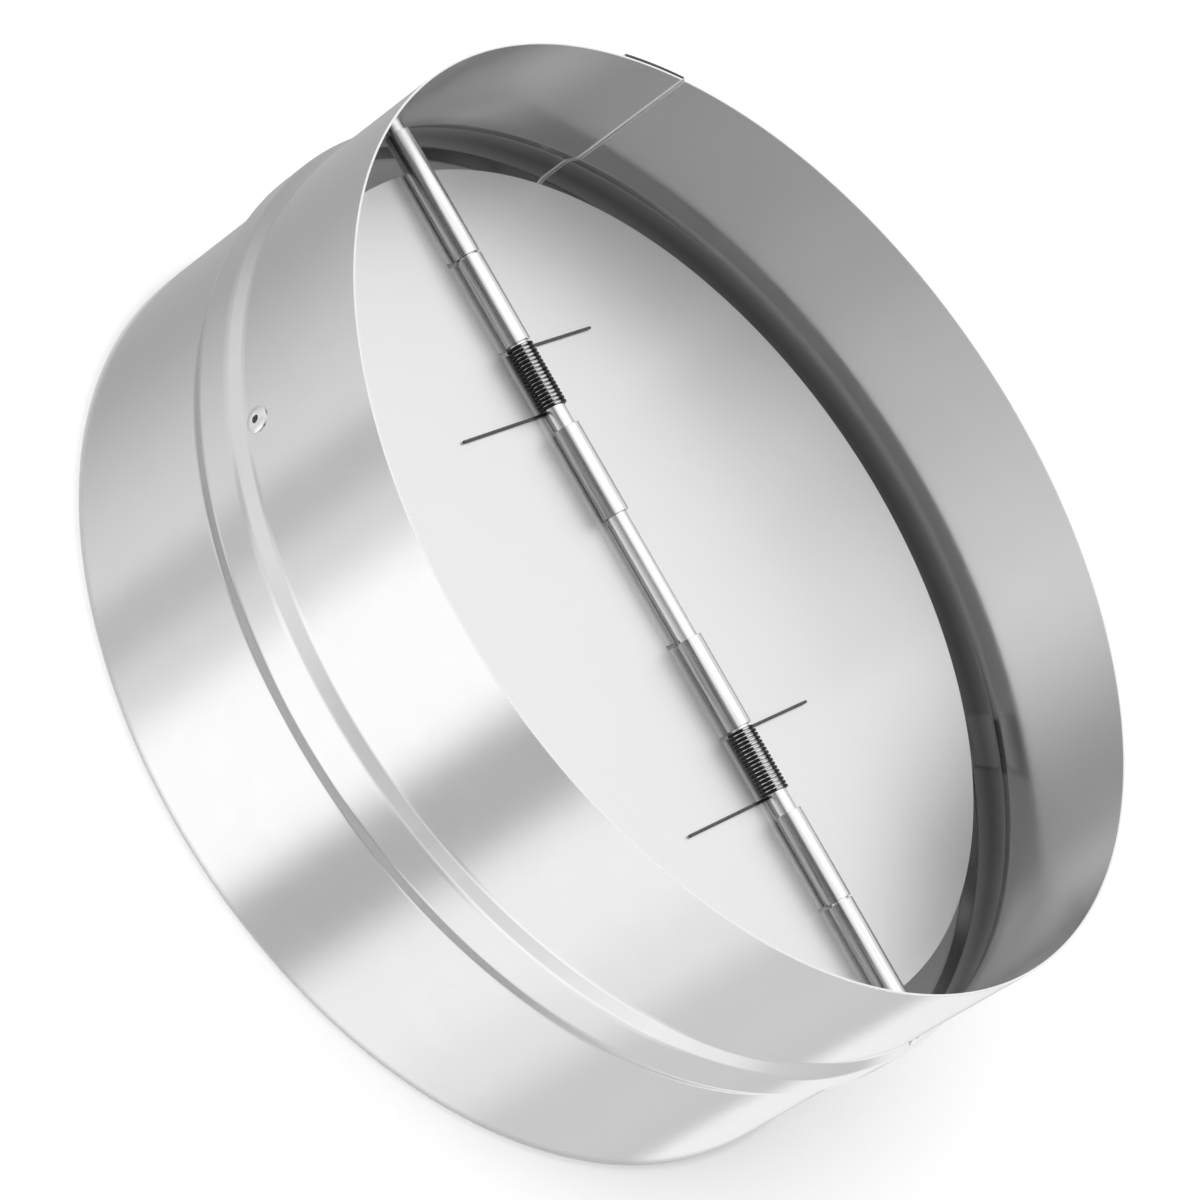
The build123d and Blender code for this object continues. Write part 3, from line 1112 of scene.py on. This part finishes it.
class SetStage(DamperStep, bpy.types.Operator):
    """Sets the floor, the studio's light and the camera"""

    bl_idname = "damper.set_stage"
    bl_label = "Set stage"

    def make(self, sizes, colours):
        scene = bpy.context.scene
        scene.view_settings.view_transform = "Standard"
        self.floor(sizes, colours)
        scene.world = self.studio()
        self.lamp()
        self.camera(scene)

    def floor(self, sizes, colours):
        """A pale floor that keeps the damper's shadow and is no dark mirror image in the metal."""
        bpy.ops.object.select_all(action="DESELECT")
        bpy.ops.mesh.primitive_circle_add(
            vertices=FLOOR_CORNERS, radius=FLOOR_RADIUS, fill_type="NGON"
        )
        floor = bpy.context.object
        floor.name = floor.data.name = "floor"
        shader = new_shader("floor_paint")
        place = shader.add("TexCoord", output="Object")
        x, y, _ = shader.parts(place)
        away = (x * x + y * y).root()
        colour = shader.shade(colours.floor, 0.995 + 0.01 * shader.noise(place, 3.0))
        paint = shader.add("BsdfDiffuse", sockets={"Color": colour, "Roughness": 0.6})
        seen = shader.add("LightPath", output="Is Camera Ray")
        mirrored = shader.add("LightPath", output="Is Glossy Ray")
        open_floor = shader.spread(away, sizes.duct_radius, sizes.duct_radius + GLOW_EDGE)
        strength = INNER_GLOW + open_floor * (seen * OPEN_GLOW - INNER_GLOW)
        glow = shader.add("Emission", sockets={"Strength": strength})
        lit = shader.add("AddShader", sockets={0: paint, 1: glow})
        clear = shader.add("BsdfTransparent")
        hidden = mirrored * open_floor
        surface = shader.add("MixShader", sockets={0: hidden, 1: lit, 2: clear})
        shader.add("OutputMaterial", sockets={"Surface": surface})
        floor.data.materials.append(shader.owner)

    def studio(self):
        """A white room that lights the damper with soft panels and flags by direction."""
        shader = Shader(bpy.data.worlds.new("studio"))
        x, y, z = shader.parts(shader.add("TexCoord", output="Generated"))
        azimuth = y.maths("ARCTAN2", y, x)
        height = z.maths("ARCSINE", z)
        level = sum((self.panel(shader, azimuth, height, *panel) for panel in PANELS), 1.0)
        level = level.maths("MAXIMUM", level, DARKEST)
        seen = shader.add("LightPath", output="Is Camera Ray")
        light = shader.mix(seen, shader.vector(level, level, level), (1, 1, 1, 1))
        surface = shader.add("Background", sockets={"Color": light})
        shader.add("OutputWorld", sockets={"Surface": surface})
        return shader.owner

    def panel(self, shader, azimuth, height, centre, half, soft, middle, half_height, gain):
        """Light added by one soft-edged panel, in degrees of azimuth and elevation."""
        turn = azimuth - radians(centre)
        away = turn.maths("WRAP", turn, pi, -pi).absolute()
        aside = shader.spread(away, radians(half - soft), radians(half), 1.0, 0.0)
        over = (height - radians(middle)).absolute()
        core = radians(PANEL_CORE * half_height)
        above = shader.spread(over, core, radians(half_height), 1.0, 0.0)
        return aside * above * gain

    def lamp(self):
        """One large soft lamp, overhead, for the shadow on the floor."""
        lamp = bpy.data.lights.new("softbox", "AREA")
        lamp.shape = "DISK"
        lamp.size = LAMP_SIZE
        lamp.energy = LAMP_POWER
        box = bpy.data.objects.new("softbox", lamp)
        box.location = LAMP_PLACE
        box.rotation_euler = Vector(box.location).to_track_quat("Z", "Y").to_euler()
        box.visible_glossy = False
        bpy.context.scene.collection.objects.link(box)

    def camera(self, scene):
        """The photograph's viewpoint, tipped so that the duct's axis leans right."""
        view = bpy.data.cameras.new("camera")
        view.sensor_width = CAMERA_SENSOR
        view.lens = CAMERA_LENS
        camera = bpy.data.objects.new("camera", view)
        right = Vector(CAMERA_RIGHT)
        back = Vector(CAMERA_BACK)
        turn = Matrix((right, back.cross(right), back)).transposed()
        camera.matrix_world = Matrix.Translation(CAMERA_PLACE) @ turn.to_4x4()
        scene.collection.objects.link(camera)
        scene.camera = camera


class DamperPanel(bpy.types.Panel):
    """Lists the damper's steps, colours and sizes in the sidebar."""

    bl_idname = "DAMPER_PT_steps"
    bl_label = "Backdraft damper"
    bl_space_type = "VIEW_3D"
    bl_region_type = "UI"
    bl_category = "Damper"

    def draw(self, context):
        column = self.layout.column(align=True)
        for step in STEPS:
            column.operator(step.bl_idname)
        for group in (context.scene.damper_colours, context.scene.damper_sizes):
            column = self.layout.column(align=True)
            for name in group.__annotations__:
                column.prop(group, name)


STEPS = (ModelSleeve, ModelRod, ModelBlades, ModelSprings, ModelStops, ModelRivets, SetStage)
GROUPS = {"damper_sizes": DamperSizes, "damper_colours": DamperColours}


def register():
    """Adds the damper's settings, steps and panel."""
    for kind in (*GROUPS.values(), *STEPS, DamperPanel):
        bpy.utils.register_class(kind)
    for name, group in GROUPS.items():
        setattr(bpy.types.Scene, name, PointerProperty(type=group))


def unregister():
    """Takes the panel, steps and settings away again."""
    for name in GROUPS:
        delattr(bpy.types.Scene, name)
    for kind in reversed((*GROUPS.values(), *STEPS, DamperPanel)):
        bpy.utils.unregister_class(kind)


def main():
    """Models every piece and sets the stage."""
    register()
    for step in STEPS:
        group, name = step.bl_idname.split(".")
        getattr(getattr(bpy.ops, group), name)()


if __name__ == "__main__":
    main()
